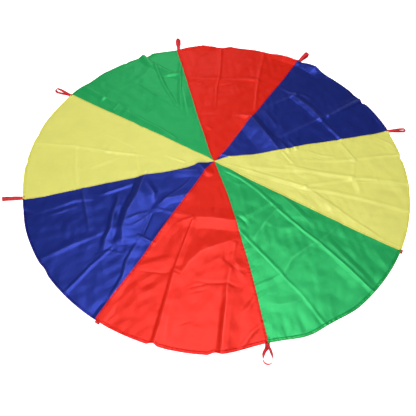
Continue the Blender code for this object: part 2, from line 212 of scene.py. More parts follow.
# Each handle's gape, as a share of the widest, how far it leans over, as a share of a quarter turn,
# and whether it is tucked under the canopy
handle_shares = (
    (0.55, -0.50, False),
    (0.75, 0.0, False),
    (0.35, 0.20, False),
    (0.073, 0.0, True),
    (0.90, 1.0, False),
    (0.073, 0.0, True),
    (0.24, 0.35, False),
    (0.55, -0.20, False),
)
APART_SHARE = 0.5
HALF_TURN_SHARE = 0.4
FULL_TURN_SHARE = 0.9
TUCKED_SHARE = 0.5
LEG_CURVE = 1.3

# Folds: how wide each side is, left and right of the line, as shares of the usual spread, in some how
# hollow the sides are, and then the crest line as x and y, shares of the radius, and height, a share
# of the tallest. A negative height is a valley
fold_shares = (
    # Red, top
    ((0.3, 0.9), (0.01, 1.0, 0.3), (0.07, 1.005, 0.8), (0.14, 0.995, 0.7), (0.2, 0.965, 0.4),
     (0.25, 0.95, 0.0)),
    ((0.5, 0.6, 0.2), (0.285, 0.965, 0.2), (0.31, 0.96, 0.4), (0.345, 0.945, 0.3), (0.37, 0.93, 0.0)),
    ((0.25, 0.5), (0.27, 0.94, 0.2), (0.25, 0.86, 0.2), (0.215, 0.74, 0.18), (0.18, 0.645, 0.14)),
    ((0.15, 0.2), (0.18, 0.645, 0.12), (0.15, 0.57, 0.12), (0.1025, 0.41, 0.04)),
    ((0.6, 0.3), (0.02, 0.685, 0.1), (0.1, 0.665, 0.16), (0.18, 0.645, 0.15)),
    ((0.5, 0.35), (0.165, 0.592, 0.1), (0.2, 0.588, 0.2), (0.26, 0.59, 0.1), (0.3, 0.59, 0.0)),
    ((0.6, 0.3), (0.207, 0.64, 0.08), (0.29, 0.614, 0.16), (0.36, 0.602, 0.2), (0.408, 0.575, 0.25)),
    ((0.3, 0.3), (0.52, 0.8, 0.08), (0.45, 0.66, 0.12), (0.405, 0.57, 0.14)),
    ((0.35, 0.15), (0.405, 0.565, 0.16), (0.37, 0.48, 0.15), (0.32, 0.345, 0.12)),
    ((0.5, 0.4), (0.195, 0.318, 0.1), (0.24, 0.305, 0.35), (0.28, 0.285, 0.3)),
    ((0.5, 0.4), (0.0, 0.375, 0.1), (0.06, 0.362, 0.15), (0.124, 0.345, 0.0)),
    ((0.3, 0.3), (0.005, 0.275, 0.15), (0.03, 0.255, 0.15)),
    ((0.3, 0.9), (0.54, 0.83, 0.2), (0.6, 0.79, 0.6), (0.66, 0.745, 0.8), (0.71, 0.7, 0.6)),
    # Blue, upper right
    ((0.2, 1.25), (0.74, 0.69, 0.4), (0.775, 0.65, 1.2), (0.8, 0.605, 1.3), (0.82, 0.565, 0.4)),
    ((0.45, 1.0), (0.985, 0.29, 0.5), (0.8075, 0.231, 0.35), (0.713, 0.196, 0.25)),
    ((0.3, 0.3), (0.97, 0.275, 0.4), (0.8, 0.222, 0.3), (0.72, 0.196, 0.15)),
    ((0.3, 0.6), (0.713, 0.2, 0.15), (0.648, 0.184, 0.2), (0.371, 0.099, 0.12), (0.3, 0.08, 0.0)),
    ((0.7, 0.6), (0.58, 0.4, 0.3), (0.6, 0.35, 0.5), (0.632, 0.29, 0.5), (0.662, 0.195, 0.4)),
    ((0.25, 0.3), (0.665, 0.175, 0.12), (0.69, 0.09, 0.18), (0.717, 0.01, 0.18)),
    ((0.3, 0.3), (0.535, 0.475, 0.1), (0.565, 0.435, 0.2), (0.6, 0.41, 0.2)),
    ((0.4, 0.5), (0.6, 0.42, 0.15), (0.645, 0.385, 0.2), (0.68, 0.34, 0.0)),
    ((0.4, 0.25), (0.377, 0.345, 0.0), (0.44, 0.36, 0.08), (0.5, 0.38, 0.15), (0.595, 0.41, 0.2)),
    ((0.75, 1.9), (0.275, 0.285, 0.3), (0.283, 0.265, 0.7), (0.303, 0.185, 0.85), (0.337, 0.07, 0.65),
     (0.352, 0.02, 0.3)),
    ((0.3, 0.5), (0.37, 0.09, 0.1), (0.385, 0.05, 0.25), (0.4, 0.0, 0.2)),
    ((0.3, 0.3), (0.42, 0.085, 0.0), (0.436, 0.04, 0.15), (0.447, 0.0, 0.2)),
    ((0.5, 0.5, 0.3), (0.37, 0.31, 0.1), (0.385, 0.24, 0.2), (0.4, 0.17, 0.0)),
    ((0.3, 0.6), (0.985, 0.25, 0.2), (1.0, 0.16, 0.35), (1.005, 0.06, 0.4), (1.0, 0.0, 0.3)),
    ((0.35, 0.35), (0.87, 0.545, 0.5), (0.82, 0.5, 0.0)),
    ((0.12, 1.6), (0.06, 0.066, 0.05), (0.13, 0.138, 0.2), (0.22, 0.228, 0.28), (0.27, 0.278, 0.15)),
    ((0.15, 0.12), (0.025, 0.045, 0.0), (0.045, 0.055, 0.12), (0.083, 0.029, 0.16), (0.1, 0.02, 0.0)),
    # Yellow, right
    ((0.3, 0.4), (0.05, -0.015, 0.03), (0.1, -0.049, 0.08), (0.295, -0.18, 0.11), (0.4, -0.254, 0.12)),
    ((0.4, 0.35), (0.14, -0.055, 0.03), (0.274, -0.1, 0.09), (0.43, -0.154, 0.1), (0.6657, -0.248, 0.12)),
    ((0.3, 0.4), (0.364, -0.103, 0.08), (0.54, -0.1976, 0.11), (0.655, -0.25, 0.1)),
    ((0.4, 0.25), (0.41, -0.25, 0.1), (0.53, -0.256, 0.06), (0.655, -0.264, 0.1)),
    ((0.4, 0.3), (0.4, -0.26, 0.1), (0.535, -0.322, 0.12), (0.628, -0.3735, 0.13), (0.87, -0.525, 0.12)),
    ((0.3, 0.8), (0.408, -0.264, 0.08), (0.51, -0.422, 0.12), (0.5526, -0.493, 0.12), (0.61, -0.575, 0.14),
     (0.65, -0.635, 0.05)),
    ((0.5, 0.25), (0.66, -0.254, 0.2), (0.7465, -0.285, 0.22), (0.93, -0.361, 0.2), (0.97, -0.37, 0.15)),
    ((0.5, 0.4), (0.672, -0.27, 0.12), (0.665, -0.33, 0.2), (0.65, -0.38, 0.0)),
    ((0.3, 0.8), (0.68, -0.29, 0.1), (0.73, -0.3, 0.2), (0.79, -0.32, 0.2), (0.9, -0.365, 0.1)),
    ((0.4, 0.25), (0.46, -0.085, 0.03), (0.61, -0.125, 0.1), (0.709, -0.14, 0.13), (0.83, -0.15, 0.1),
     (0.97, -0.17, 0.25), (1.0, -0.18, 0.3)),
    ((0.25, 0.5), (0.7, -0.02, 0.12), (0.728, -0.141, 0.2)),
    ((0.3, 0.5), (0.5, -0.03, 0.05), (0.56, -0.075, 0.15), (0.62, -0.1, 0.1)),
    ((0.3, 0.7), (0.92, -0.03, 0.1), (0.96, -0.08, 0.25), (0.98, -0.12, 0.1)),
    ((0.3, 0.3), (0.672, -0.248, 0.08), (0.709, -0.173, 0.1)),
    ((0.2, 0.3), (0.796, -0.235, 0.0), (0.784, -0.2975, 0.1)),
    ((0.3, 0.12), (0.367, -0.005, 0.1), (0.392, -0.086, 0.1)),
    # Green, lower right
    ((0.35, 0.15), (0.02, -0.045, 0.05), (0.1, -0.13, 0.2), (0.16, -0.22, 0.22), (0.215, -0.335, 0.15)),
    ((0.25, 0.14), (0.222, -0.355, 0.2), (0.3, -0.5, 0.26), (0.353, -0.5885, 0.28), (0.408, -0.6975, 0.3),
     (0.4895, -0.866, 0.3), (0.5, -0.89, 0.3)),
    ((0.3, 0.1), (0.0045, -0.425, 0.08), (0.0317, -0.49, 0.14), (0.0917, -0.615, 0.14),
     (0.125, -0.69, 0.1)),
    ((0.14, 0.14), (0.13, -0.7, 0.07), (0.18, -0.8, 0.07), (0.233, -0.965, 0.12)),
    ((1.2, 0.45), (0.13, -0.695, 0.1), (0.2, -0.625, 0.2), (0.31, -0.58, 0.2), (0.353, -0.575, 0.15),
     (0.42, -0.54, 0.15), (0.475, -0.505, 0.05)),
    ((0.2, 0.5), (-0.01, -0.72, 0.05), (0.06, -0.708, 0.07), (0.12, -0.695, 0.05)),
    ((0.6, 0.3), (0.03, -0.365, 0.05), (0.1, -0.345, 0.1), (0.2, -0.308, 0.08)),
    ((0.6, 0.5), (0.225, -0.345, 0.15), (0.135, -0.415, 0.2), (0.055, -0.49, 0.1)),
    ((0.3, 0.3, 0.3), (0.02, -0.35, -0.15), (0.045, -0.385, -0.2), (0.055, -0.43, 0.0)),
    ((0.5, 0.9), (0.26, -0.27, 0.1), (0.285, -0.32, 0.3), (0.32, -0.4, 0.2), (0.36, -0.5, 0.0)),
    ((0.5, 1.6), (0.39, -0.57, 0.05), (0.43, -0.67, 0.3), (0.47, -0.76, 0.3), (0.5, -0.84, 0.1)),
    ((0.7, 0.7), (0.02, -0.8, 0.05), (0.07, -0.825, 0.14), (0.13, -0.83, 0.1), (0.18, -0.82, 0.0)),
    ((0.4, 0.6, 0.3), (0.05, -0.14, 0.05), (0.08, -0.165, 0.12), (0.11, -0.17, 0.05)),
    # Red, bottom
    ((0.5, 0.13), (-0.203, -0.328, 0.14), (-0.28, -0.455, 0.16), (-0.342, -0.563, 0.16)),
    ((1.2, 0.27), (-0.345, -0.575, 0.2), (-0.4, -0.69, 0.32), (-0.478, -0.85, 0.45), (-0.5, -0.89, 0.5)),
    ((1.2, 0.5), (-0.344, -0.632, 0.0), (-0.4, -0.75, 0.1), (-0.44, -0.858, 0.12)),
    ((1.6, 1.0, 0.5), (-0.323, -0.592, 0.05), (-0.26, -0.535, 0.25), (-0.198, -0.496, 0.3),
     (-0.1115, -0.4817, 0.28), (-0.025, -0.472, 0.15)),
    ((1.3, 1.1), (-0.19, -0.308, 0.35), (-0.112, -0.328, 0.5), (-0.054, -0.352, 0.5), (0.0, -0.375, 0.35)),
    ((0.4, 0.5), (-0.498, -0.505, 0.05), (-0.4, -0.495, 0.14), (-0.31, -0.488, 0.0)),
    ((0.15, 0.15), (-0.506, -0.515, 0.0), (-0.44, -0.543, -0.1), (-0.38, -0.562, -0.1),
     (-0.345, -0.565, 0.0)),
    ((0.15, 0.15), (-0.339, -0.562, -0.12), (-0.305, -0.588, 0.0)),
    ((0.2, 0.2), (-0.277, -0.622, 0.0), (-0.206, -0.653, -0.1), (-0.124, -0.673, -0.12),
     (-0.07, -0.714, 0.0)),
    ((0.12, 0.12), (-0.308, -0.66, 0.0), (-0.25, -0.657, -0.08), (-0.195, -0.658, 0.0)),
    ((0.12, 0.12), (-0.308, -0.683, 0.0), (-0.25, -0.682, -0.08), (-0.2, -0.68, 0.0)),
    ((0.5, 1.0), (-0.125, -0.555, 0.05), (-0.1, -0.585, 0.15), (-0.085, -0.61, 0.1)),
    ((1.4, 0.5, 0.5), (-0.09, -0.61, 0.1), (-0.126, -0.688, 0.28), (-0.155, -0.775, 0.38),
     (-0.193, -0.871, 0.48), (-0.225, -0.96, 0.55), (-0.235, -0.99, 0.6)),
    ((0.8, 0.4), (-0.06, -0.56, 0.05), (-0.055, -0.62, 0.2), (-0.045, -0.665, 0.1)),
    ((1.0, 0.4), (-0.1, -0.7, 0.0), (-0.16, -0.85, 0.08), (-0.2, -0.955, 0.1)),
    ((0.3, 0.3), (-0.144, -0.965, 0.1), (-0.08, -0.915, 0.14), (-0.02, -0.888, 0.1)),
    ((0.3, 0.3), (-0.124, -0.837, 0.0), (-0.062, -0.806, 0.12), (-0.02, -0.765, 0.05)),
    ((0.12, 0.12), (-0.41, -0.817, 0.0), (-0.355, -0.808, -0.09), (-0.298, -0.806, 0.0)),
    ((0.3, 0.3), (-0.075, -0.58, 0.0), (-0.035, -0.49, 0.14)),
    ((0.35, 0.35, 0.3), (-0.095, -0.57, -0.1), (-0.06, -0.62, -0.15), (-0.02, -0.65, 0.0)),
    ((0.12, 0.12), (-0.16, -0.263, -0.08), (-0.134, -0.19, 0.0)),
    ((0.15, 0.4), (-0.3, -0.235, 0.05), (-0.25, -0.262, 0.15), (-0.2, -0.295, 0.2)),
    ((0.2, 0.7), (-0.28, -0.32, 0.0), (-0.24, -0.31, 0.2), (-0.2, -0.312, 0.2)),
    # Blue, lower left
    ((0.8, 0.25), (-0.94, -0.105, 0.03), (-0.84, -0.092, 0.09), (-0.74, -0.072, 0.15),
     (-0.65, -0.085, 0.05)),
    ((0.3, 0.25), (-0.89, -0.13, 0.0), (-0.8, -0.118, 0.12), (-0.737, -0.108, 0.05)),
    ((0.4, 0.25), (-0.61, -0.065, 0.05), (-0.54, -0.055, 0.2), (-0.44, -0.035, 0.1)),
    ((0.5, 0.2), (-0.7, 0.0, 0.15), (-0.695, -0.1, 0.25), (-0.69, -0.2, 0.18), (-0.69, -0.28, 0.0)),
    ((0.8, 0.25), (-0.914, -0.363, 0.06), (-0.85, -0.345, 0.13), (-0.767, -0.322, 0.2),
     (-0.62, -0.285, 0.08)),
    ((1.9, 0.8), (-0.37, 0.02, 0.5), (-0.43, -0.103, 1.05), (-0.495, -0.198, 1.1), (-0.534, -0.285, 0.9),
     (-0.542, -0.35, 0.5), (-0.545, -0.375, 0.0)),
    ((0.6, 0.4), (-0.529, -0.09, 0.1), (-0.5305, -0.12, 0.35), (-0.566, -0.198, 0.6), (-0.589, -0.28, 0.6),
     (-0.619, -0.327, 0.4), (-0.633, -0.38, 0.1)),
    ((0.5, 0.25), (-0.378, -0.045, 0.05), (-0.355, -0.12, 0.25), (-0.36, -0.175, 0.05)),
    ((0.8, 0.7), (-0.35, -0.2, 0.1), (-0.3, -0.165, 0.3), (-0.22, -0.165, 0.25), (-0.17, -0.16, 0.1)),
    ((0.15, 0.3), (-0.355, -0.213, 0.05), (-0.31, -0.238, 0.15), (-0.268, -0.266, 0.12),
     (-0.206, -0.299, 0.05)),
    ((0.3, 0.5), (-0.5, -0.25, 0.1), (-0.45, -0.235, 0.3), (-0.4, -0.225, 0.1)),
    ((0.3, 0.3), (-0.505, -0.3, 0.0), (-0.43, -0.262, 0.25), (-0.4, -0.24, 0.1)),
    ((0.7, 0.25), (-0.455, -0.36, 0.05), (-0.5, -0.41, 0.15), (-0.54, -0.465, 0.2), (-0.565, -0.535, 0.25),
     (-0.61, -0.595, 0.2), (-0.64, -0.63, 0.0)),
    ((0.15, 0.15), (-0.389, -0.243, -0.1), (-0.42, -0.3, -0.2), (-0.447, -0.343, -0.15)),
    ((0.2, 0.3), (-0.4656, -0.345, 0.1), (-0.435, -0.372, 0.3), (-0.41, -0.395, 0.3), (-0.395, -0.41, 0.0)),
    ((0.25, 0.15), (-0.6, -0.382, 0.08), (-0.7045, -0.453, 0.15), (-0.82, -0.552, 0.15)),
    ((0.2, 0.6), (-0.66, -0.4, 0.05), (-0.61, -0.395, 0.1), (-0.56, -0.42, 0.05)),
    ((0.3, 0.3), (-0.99, -0.07, -0.25), (-0.935, -0.108, 0.0)),
    ((0.9, 0.3), (-0.095, 0.02, 0.45), (-0.08, -0.015, 0.5), (-0.067, -0.048, 0.35)),
    ((0.3, 0.9), (-0.25, 0.0, 0.1), (-0.17, -0.008, 0.35), (-0.11, -0.02, 0.2)),
    ((0.15, 0.6), (-0.31, -0.165, 0.05), (-0.22, -0.12, 0.14), (-0.17, -0.085, 0.12), (-0.14, -0.06, 0.0)),
    ((0.3, 0.5), (-0.42, -0.4, 0.0), (-0.33, -0.315, 0.2), (-0.27, -0.26, 0.0)),
    # Yellow, left
    ((0.3, 0.3), (-0.92, 0.36, 0.15), (-0.709, 0.286, 0.2), (-0.547, 0.21, 0.2), (-0.423, 0.162, 0.2),
     (-0.3236, 0.118, 0.0)),
    ((0.2, 0.2), (-0.26, 0.11, 0.0), (-0.243, 0.106, 0.08), (-0.162, 0.05, 0.1)),
    ((0.3, 0.12), (-0.709, 0.284, 0.1), (-0.72, 0.142, 0.12), (-0.725, 0.02, 0.1)),
    ((0.2, 0.3), (-0.67, 0.106, 0.0), (-0.6, 0.13, 0.08), (-0.5, 0.15, 0.08), (-0.44, 0.155, 0.0)),
    ((0.15, 0.3), (-0.585, 0.373, 0.0), (-0.48, 0.28, 0.1), (-0.4, 0.2, 0.12)),
    ((0.3, 0.12), (-0.402, 0.154, 0.1), (-0.404, 0.02, 0.12)),
    # Green, upper left
    ((0.25, 0.8), (-0.235, 0.985, 0.4), (-0.205, 0.905, 0.5), (-0.13, 0.81, 0.45), (-0.05, 0.732, 0.35),
     (-0.008, 0.7, 0.15)),
    ((0.3, 0.7), (-0.24, 1.0, 0.4), (-0.225, 0.93, 0.4), (-0.2, 0.87, 0.2), (-0.19, 0.83, 0.0)),
    ((0.3, 0.15), (-0.175, 0.86, 0.35), (-0.168, 0.79, 0.35), (-0.161, 0.696, 0.3), (-0.147, 0.614, 0.25),
     (-0.117, 0.47, 0.1)),
    ((0.2, 0.35), (-0.01, 0.85, 0.2), (-0.035, 0.767, 0.25), (-0.047, 0.696, 0.2), (-0.082, 0.543, 0.12),
     (-0.1, 0.437, 0.05)),
    ((0.5, 0.35), (-0.163, 0.742, 0.15), (-0.12, 0.745, 0.3), (-0.06, 0.742, 0.2)),
    ((0.25, 0.6), (-0.61, 0.75, 0.15), (-0.565, 0.695, 0.25), (-0.515, 0.64, 0.25), (-0.47, 0.59, 0.05)),
    ((0.3, 0.3), (-0.56, 0.59, 0.0), (-0.525, 0.63, 0.25), (-0.515, 0.64, 0.2)),
    ((0.25, 0.25), (-0.475, 0.525, 0.2), (-0.447, 0.555, 0.1)),
    ((0.2, 0.7), (-0.4, 0.49, 0.15), (-0.33, 0.41, 0.3), (-0.25, 0.325, 0.4), (-0.175, 0.225, 0.2)),
    ((1.0, 1.0, 0.5), (-0.05, 0.62, 0.1), (-0.06, 0.5, 0.3), (-0.07, 0.38, 0.1)),
    ((0.15, 0.2), (-0.31, 0.73, 0.0), (-0.23, 0.61, 0.1), (-0.15, 0.52, 0.05)),
    ((0.15, 0.2), (-0.295, 0.71, 0.0), (-0.2, 0.57, 0.1), (-0.12, 0.46, 0.0)),
)

# Linear colour and roughness of each cloth, how much of the light its threads mirror in their own
# colour, and how strong its white shine is
CLOTHS = {
    "red": ((0.830, 0.016, 0.004), 0.34, 0.21, 0.22),
    "blue": ((0.015, 0.033, 0.300), 0.36, 0.62, 0.30),
    "yellow": ((0.850, 0.825, 0.180), 0.38, 0.08, 0.60),
    "green": ((0.020, 0.445, 0.122), 0.34, 0.32, 0.22),
}
WEBBING_COLOUR = (0.80, 0.010, 0.020)
THREAD_COLOUR = (0.42, 0.012, 0.010)

# Softboxes: place, side length and power
SOFTBOXES = {
    "overhead": ((0.15, 0.1, 5.0), 3.4, 175.0),
    "back": ((0.9, 6.8, 5.0), 2.4, 32.0),
    "fill": ((-9.0, -1.0, 9.0), 4.0, 440.0),
}
ROOM_LIGHT = 0.13
WALLS_SEEN = 0.90
FLOOR_HALF = 12.0
FLOOR_GLOW = 0.9

GORE_ANGLE = 2 * math.pi / GORES
CROSSING_LOW, CROSSING_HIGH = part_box("seam_crossing")
MEET = np.array(((CROSSING_LOW.x + CROSSING_HIGH.x) / 2, (CROSSING_LOW.y + CROSSING_HIGH.y) / 2))
STACK = 2 * WEBBING + CLEARANCE
TURN_HEIGHT = STACK + CLEARANCE / 2


def heading(angle):
    """Unit vectors on the ground at angles from +X."""
    return np.stack([np.cos(angle), np.sin(angle)], axis=-1)


def eased(share):
    """Smooth rise from 0 to 1."""
    share = np.clip(share, 0.0, 1.0)
    return share * share * (3 - 2 * share)


def rounded(share):
    """Smooth hump from 1 at 0 to nothing at 1 and beyond."""
    return np.maximum(1 - share * share, 0.0) ** 2


def turned(vectors):
    """Vectors on the ground, turned a quarter turn anticlockwise."""
    return np.stack([-vectors[..., 1], vectors[..., 0]], axis=-1)


def lattice_noise(points, step, seed):
    """Smooth unevenness from -1 to 1 with features of one step."""
    values = np.random.default_rng(seed).uniform(-1, 1, (NOISE_CELLS, NOISE_CELLS))
    cell = points / step
    low = np.floor(cell)
    share = eased(cell - low)
    x, y = np.moveaxis(low.astype(int) % NOISE_CELLS, -1, 0)
    next_x, next_y = (x + 1) % NOISE_CELLS, (y + 1) % NOISE_CELLS
    near = values[x, y] * (1 - share[..., 0]) + values[next_x, y] * share[..., 0]
    far = values[x, next_y] * (1 - share[..., 0]) + values[next_x, next_y] * share[..., 0]
    return near * (1 - share[..., 1]) + far * share[..., 1]


def seam_angle(index):
    """Direction of a seam's end from the middle of the rim; index 0 points to +Y."""
    turn, _ = seam_end_shares[index % GORES]
    return math.pi / 2 - index * GORE_ANGLE + turn * GORE_ANGLE


def rim_radius(angle):
    """Reach of the rim, drawn in at its dents and round the seam ends that lie short of it."""
    pulls = [(seam_angle(index), PULL_SHARE, 1 - seam_end_shares[index][1]) for index in range(GORES)]
    dents = [(math.pi / 2 + turn * GORE_ANGLE, spread, depth) for turn, spread, depth in rim_dent_shares]
    radius = np.full(np.shape(angle), RADIUS)
    for middle, spread, depth in pulls + dents:
        away = np.abs((angle - middle + math.pi) % (2 * math.pi) - math.pi)
        radius = radius - RADIUS * depth * rounded(away / (spread * GORE_ANGLE))
    return radius


def rim_point(angle, inset=0.0):
    """Points at the rim, or inset from it towards the middle."""
    return heading(angle) * (rim_radius(angle) - inset)[..., None]


def seam_run(index):
    """From the middle to a seam's end."""
    return rim_point(np.array(seam_angle(index))) - MEET


def seam_point(index, share, aside=0.0):
    """Points of a seam at shares of its length from the middle, moved aside anticlockwise."""
    index %= GORES
    run = seam_run(index)
    across = turned(run / np.linalg.norm(run))
    nearby = [np.interp(share + offset, bow_station_shares, seam_bow_shares[index])
              for offset in (-BOW_BLUR_SHARE, 0.0, BOW_BLUR_SHARE)]
    bow = RADIUS * sum(nearby) / len(nearby)
    return MEET + run * share[..., None] + across * (bow + aside)[..., None]


def seam_length(index):
    """Length of a seam from the middle to the rim."""
    return float(np.linalg.norm(seam_run(index)))


def seam_end_angle(index):
    """Direction of the place where a bowed seam meets the rim."""
    end = seam_point(index, np.array(1.0))
    return math.atan2(end[1], end[0])


class Handle:
    """Place and shape of one handle: a is outward from the rim, b anticlockwise along it."""

    def __init__(self, index, joint):
        gape, lean, self.tucked = handle_shares[index]
        self.name = joint["child"]
        self.hinge = np.array(joint["pos_m"])
        axis = joint["axis"]
        self.angle = math.atan2(axis[0], -axis[1])
        self.out = heading(np.array(self.angle))
        self.side = turned(self.out)
        self.rim = self.hinge[:2] - self.out * STUB_LENGTH
        self.lean = lean * math.pi / 2
        self.end_radius = gape * WIDEST_GAPE / 2
        self.sewn_height = STACK + CLEARANCE if self.tucked else 0.0
        self.lift = self.sewn_height + STACK + CLEARANCE
        leg = (STRAP_LENGTH - math.pi * self.end_radius) / 2
        self.leg_reach = math.sqrt(leg ** 2 - self.end_radius ** 2)
        self.reach = self.leg_reach + self.end_radius
        covered = self.reach + WEBBING if self.tucked else SEWN_LENGTH
        self.cover_length = covered + LIFT_MARGIN
        self.cover_half = WEBBING_WIDTH / 2 + LIFT_MARGIN

    def raise_cloth(self, points):
        """How far this handle's sewn end, or the handle itself, holds the cloth up."""
        a = (points - self.rim) @ self.out
        b = (points - self.rim) @ self.side
        past_end = np.maximum(-self.cover_length - a, 0.0)
        beyond = np.hypot(past_end, np.maximum(np.abs(b) - self.cover_half, 0.0))
        return self.lift * (1 - eased(beyond / LIFT_SPREAD))


JOINTS = {joint["child"]: joint for joint in frame["joints"]}
HANDLES = tuple(Handle(index, JOINTS[f"handle_{index + 1}"]) for index in range(GORES))


def nearest_on(points, line):
    """Distance to a crest line, how far to its left a point is, from -1 to 1, and the crest's height."""
    best = np.full(points.shape[:-1], np.inf)
    side = np.zeros(best.shape)
    crest = np.zeros(best.shape)
    for (x0, y0, low), (x1, y1, high) in zip(line, line[1:]):
        start = np.array((x0, y0)) * RADIUS
        run = np.array((x1, y1)) * RADIUS - start
        offset = points - start
        share = np.clip(offset @ run / (run @ run), 0.0, 1.0)
        away = np.linalg.norm(offset - share[..., None] * run, axis=-1)
        nearer = away < best
        leftward = (run[0] * offset[..., 1] - run[1] * offset[..., 0]) / np.linalg.norm(run)
        side = np.where(nearer, leftward / np.maximum(away, TINY), side)
        best = np.where(nearer, away, best)
        crest = np.where(nearer, low + (high - low) * share, crest)
    return best, np.clip(side, -1.0, 1.0), crest


def fold_height(points):
    """Height that the folds add, and the strength of the painted highlight along their crests."""
    height = np.zeros(points.shape[:-1])
    crest_highlight = np.zeros(points.shape[:-1])
    for widths, *line in fold_shares:
        left_share, right_share, hollow_share = widths if len(widths) == 3 else (*widths, 0.0)
        widest = max(left_share, right_share) * FOLD_SPREAD
        crests = np.array(line)[:, :2] * RADIUS
        inside = (points > crests.min(axis=0) - widest) & (points < crests.max(axis=0) + widest)
        near = np.all(inside, axis=-1)
        if not near.any():
            continue
        away, side, crest = nearest_on(points[near], line)
        fall = np.sqrt(away ** 2 + CREST_BLUNT ** 2) - CREST_BLUNT
        width = (right_share + (left_share - right_share) * (1 + side) / 2) * FOLD_SPREAD
        left_over = np.maximum(1 - fall / width, 0.0)
        shape = left_over * (1 - hollow_share + hollow_share * left_over)
        height[near] += crest * FOLD_HEIGHT * shape
        # Painted highlight: a pale line along each crest, stronger on taller crests, keeping the strongest
        # where lines meet
        crest_highlight_here = np.minimum(np.abs(crest) / FULL_HIGHLIGHT_SHARE, 1.0) * np.exp(-(away / CREST_HIGHLIGHT_WIDTH) ** 2)
        crest_highlight[near] = np.maximum(crest_highlight[near], crest_highlight_here)
    return height, crest_highlight


def crumple_height(points):
    """Height of the fine straight creases that come and go all over the cloth."""
    height = np.zeros(points.shape[:-1])
    bend_seed, patch_seed = CRUMPLE_SEEDS
    for number in range(CRUMPLES):
        turn = heading(np.array(CRUMPLE_TURN * number))
        length_share = 0.5 + (CRUMPLE_SPREAD_SHARE * number) % 1.0
        bent = CRUMPLE_BEND_SHARE * lattice_noise(points, CRUMPLE_BEND_LENGTH, bend_seed + number)
        place = points @ turn / (CRUMPLE_LENGTH * length_share) + bent
        crease = 2 * np.abs(place % 1.0 - 0.5)
        shown = lattice_noise(points + CRUMPLE_SHIFT * number, CRUMPLE_PATCH, patch_seed + number)
        patch = np.maximum(shown - CRUMPLE_BARE_SHARE, 0.0)
        height += CRUMPLE_HEIGHT * length_share * patch * crease
    return height


def ripples(along, row, lag, patch, wander):
    """Ripples along one row of stitches, uneven in strength and spacing."""
    place = np.stack([along, 0 * along + row], axis=-1)
    strength = PUCKER_SHARE * (1 + lattice_noise(place, *patch))
    reach, *noise = wander
    phase = 2 * math.pi * (along + lag) / PUCKER_LENGTH + reach * lattice_noise(place, *noise)
    return strength * np.sin(phase)


def pucker_height(points):
    """Height of the ripples beside the seams and the hem."""
    height = np.zeros(points.shape[:-1])
    offset = points - MEET
    first_share, last_share = seam_pucker_shares
    for index in range(GORES):
        run = seam_run(index)
        length = np.linalg.norm(run)
        share = offset @ run / length ** 2
        line = seam_point(index, np.clip(share, 0.0, 1.0))
        aside = (points - line) @ turned(run / length)
        green_side = GORE_COLOURS[index - 1] == "green"
        strength = np.where((aside > 0) == green_side, 1.0, PUCKER_SHARE)
        near = np.exp(-np.abs(aside) / PUCKER_REACH) * (share > first_share) * (share < last_share)
        lag = PUCKER_SLANT * np.abs(aside)
        height += PUCKER_HEIGHT * strength * near * ripples(share * length, index, lag, *SEAM_PUCKERS)
    angle = np.arctan2(points[..., 1], points[..., 0])
    inset = rim_radius(angle) - np.linalg.norm(points, axis=-1)
    near = np.exp(-np.abs(inset) / PUCKER_REACH)
    return height + PUCKER_HEIGHT * near * ripples(angle * RADIUS, 0, 0.0, *HEM_PUCKERS)


def settled(height):
    """Heights kept off the floor, with a soft start."""
    return FLOOR_GAP + SETTLE * np.logaddexp(0.0, height / SETTLE)


def ground_gap(points):
    """Height of the cloth's underside over the ground, and the strength of the painted crest highlight
    there.
    """
    folds, crest_highlight = fold_height(points)
    out = np.linalg.norm(points, axis=-1) / RADIUS
    height = folds + crumple_height(points) + RIM_LOFT + (LOFT - RIM_LOFT) * (1 - out ** LOFT_POWER)
    for step, rise, seed in UNEVEN:
        turn = heading(np.array(float(seed)))
        mixed = np.stack([points @ turn, points @ turned(turn)], axis=-1)
        height = height + rise * lattice_noise(mixed, step, seed)
    height = settled(height + pucker_height(points))
    for handle in HANDLES:
        height = np.maximum(height, handle.raise_cloth(points))
    return height, crest_highlight


def lay(points, rise=0.0):
    """Points on the ground moved up onto the cloth's underside, plus a rise."""
    height, _ = ground_gap(points)
    return np.concatenate([points, (height + rise)[..., None]], axis=-1)


def new_object(name, vertices, faces, material, body="canopy", attributes=None):
    """Smooth mesh object in the scene, riding on a body when one is given."""
    data = bpy.data.meshes.new(name)
    data.from_pydata(vertices.reshape(-1, 3).tolist(), [], faces)
    data.materials.append(material)
    for key, values in (attributes or {}).items():
        values = np.asarray(values, np.float32)
        kind, field = ("FLOAT_VECTOR", "vector") if values.shape[-1] == 3 else ("FLOAT", "value")
        data.attributes.new(key, kind, "POINT").data.foreach_set(field, values.ravel())
    data.shade_smooth()
    data.update()
    item = bpy.data.objects.new(name, data)
    bpy.context.scene.collection.objects.link(item)
    if body:
        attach(item, body)
    return item


def closed_sheet(top, bottom):
    """Vertices and faces of the body between two grids of points of the same size."""
    rows, columns = top.shape[:2]
    count = rows * columns
    place = np.arange(count).reshape(rows, columns)
    corners = [place[:-1, :-1], place[:-1, 1:], place[1:, 1:], place[1:, :-1]]
    over = np.stack(corners, axis=-1).reshape(-1, 4)
    border = np.concatenate([place[0, :-1], place[:-1, -1], place[-1, :0:-1], place[:0:-1, 0]])
    after = np.roll(border, -1)
    edge = np.stack([after, border, border + count, after + count], axis=-1)
    faces = np.concatenate([over, over[:, ::-1] + count, edge]).tolist()
    return np.concatenate([top.reshape(-1, 3), bottom.reshape(-1, 3)]), faces


def ringed(rings):
    """Vertices and faces of a closed body through rings of points, capped at both ends."""
    count, around = rings.shape[:2]
    place = np.arange(count * around).reshape(count, around)
    nxt = np.roll(place, -1, axis=1)
    sides = np.stack([place[:-1], nxt[:-1], nxt[1:], place[1:]], axis=-1).reshape(-1, 4).tolist()
    return rings.reshape(-1, 3), sides + [place[0, ::-1].tolist(), place[-1].tolist()]


